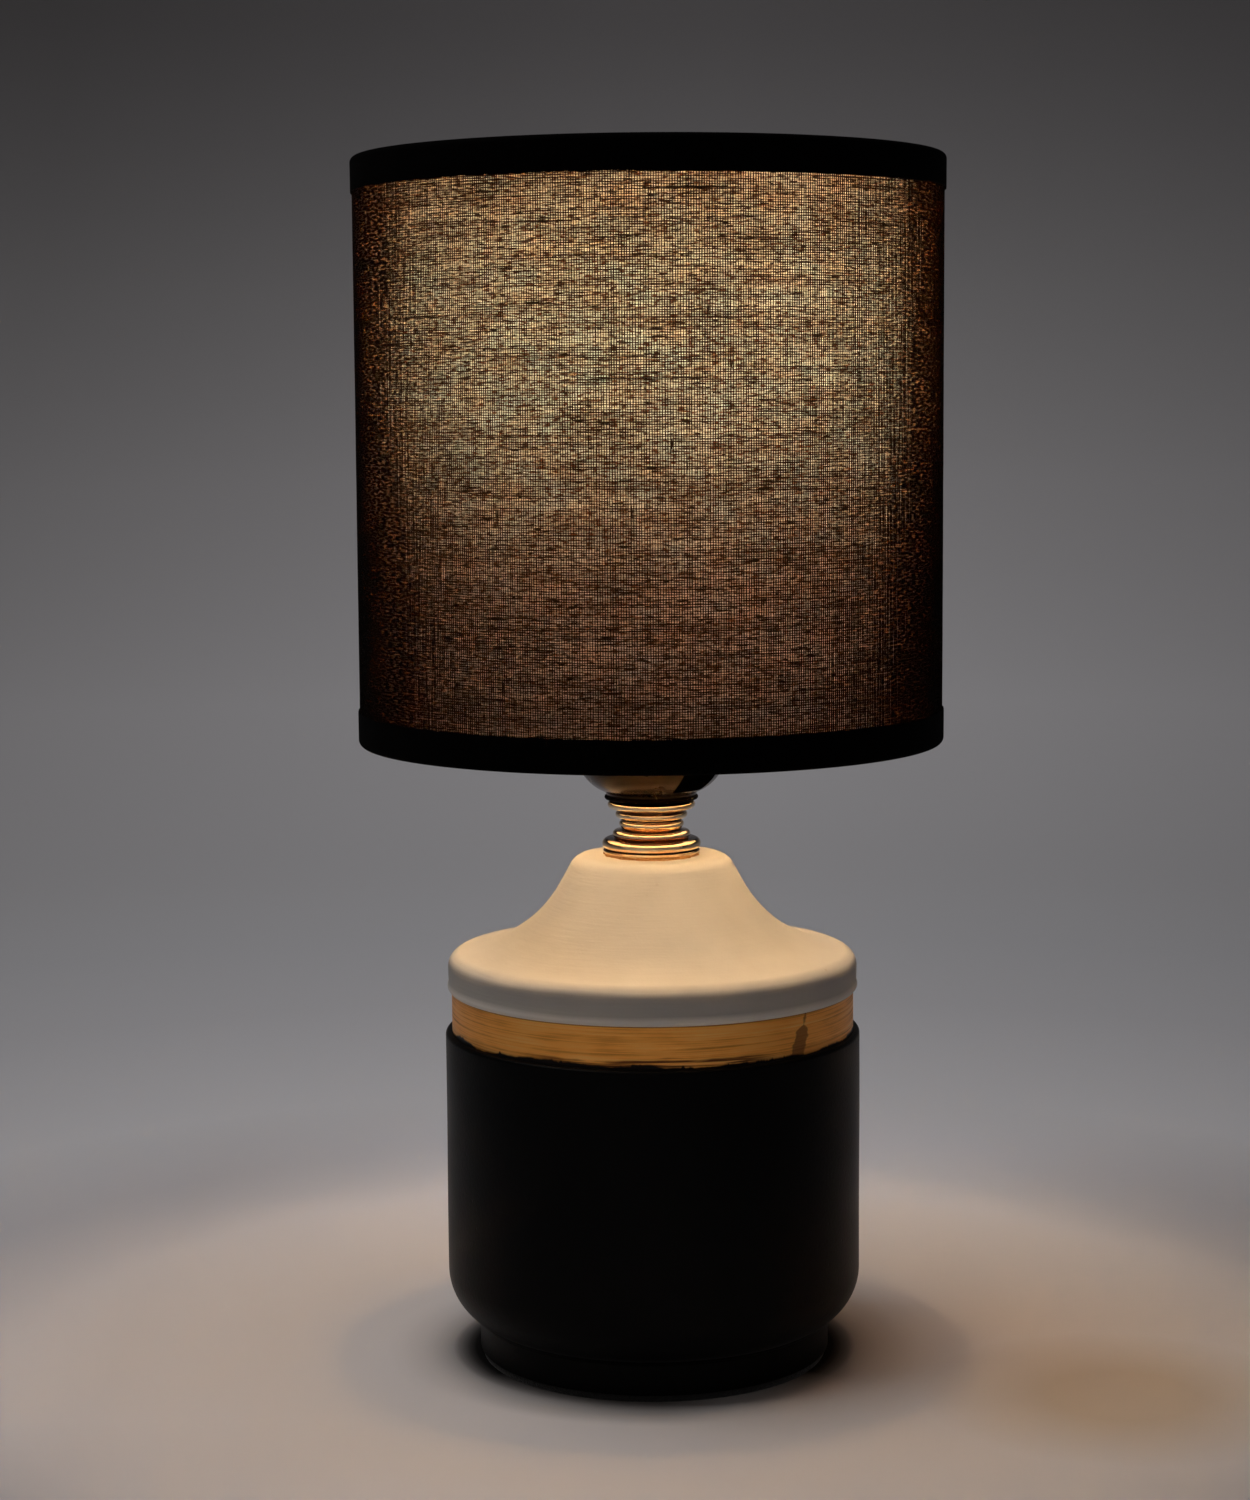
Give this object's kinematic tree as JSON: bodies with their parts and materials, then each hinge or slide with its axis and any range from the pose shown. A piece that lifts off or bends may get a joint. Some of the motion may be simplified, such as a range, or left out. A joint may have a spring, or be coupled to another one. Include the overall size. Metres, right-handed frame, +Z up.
{
  "type": "table lamp with shade",
  "caption": "Small table lamp: white-topped black ceramic base with a gold band, turned brass neck, screw lampholder and a black cloth drum shade over a candle bulb.",
  "frame": {"origin": "centre of the felt pad's underside, where the lamp stands", "axes": "+Z up along the lamp's axis, -Y towards the viewer, +X towards the side with the cord outlet"},
  "size_m": [0.1608, 0.1608, 0.3313],
  "materials": {
    "ceramic_black": "matt, very dark, faint unevenness",
    "ceramic_gold": "gold paint brushed round the band, satin, streaky",
    "ceramic_white": "matt white",
    "brass_polished": "polished, fine pits",
    "bronze_lacquer": "glossy dark gold lacquer",
    "zinc_steel": "zinc plated",
    "contact_brass": "satin",
    "porcelain": "glazed",
    "black_plastic": "moulded, satin",
    "black_rubber": "matt",
    "black_felt": "felt",
    "shade_cloth": "linen weave with slubs, lets light through",
    "liner_sheet": "translucent white sheet",
    "trim_cloth": "close-woven opaque tape",
    "coated_wire": "white powder coat",
    "nickel": "nickel plated",
    "white_plastic": "moulded",
    "opal": "opal diffuser, lit",
    "circuit_board": "solder mask",
    "led": "phosphor"
  },
  "bodies": {
    "root": {"felt_pad": "black_felt", "ceramic_base": "ceramic_black", "gold_band": "ceramic_gold", "ceramic_cap": "ceramic_white", "cord_grommet": "black_rubber", "bottom_washer": "zinc_steel", "bottom_nut": "zinc_steel", "threaded_tube": "zinc_steel", "brass_neck": "brass_polished", "holder_dome": "bronze_lacquer", "grub_screw": "zinc_steel", "terminal_block": "porcelain", "terminal_screws": "contact_brass", "screw_shell": "contact_brass", "centre_contact": "contact_brass", "side_contact": "contact_brass", "holder_skirt": "black_plastic"},
    "ring_nut": {"shade_ring_nut": "black_plastic"},
    "shade": {"shade_spider": "coated_wire", "lower_wire_ring": "coated_wire", "upper_wire_ring": "coated_wire", "shade_liner": "liner_sheet", "shade_fabric": "shade_cloth", "top_trim": "trim_cloth", "bottom_trim": "trim_cloth"},
    "bulb": {"bulb_screw_cap": "nickel", "bulb_insulator": "black_plastic", "bulb_tip_contact": "nickel", "bulb_housing": "white_plastic", "led_driver": "circuit_board", "led_board": "white_plastic", "led_chips": "led", "bulb_diffuser": "opal"}
  },
  "joints": [
    {"name": "shade_lift", "type": "slide", "parent": "root", "child": "ring_nut", "axis": [0, 0, 1], "range_m": [0, 0.17]},
    {"name": "shade_turn", "type": "hinge", "parent": "ring_nut", "child": "shade", "pos_m": [0, 0, 0.1887], "axis": [0, 0, 1], "continuous": true},
    {"name": "bulb_out", "type": "slide", "parent": "root", "child": "bulb", "axis": [0, 0, 1], "range_m": [0, 0.16]}
  ]
}
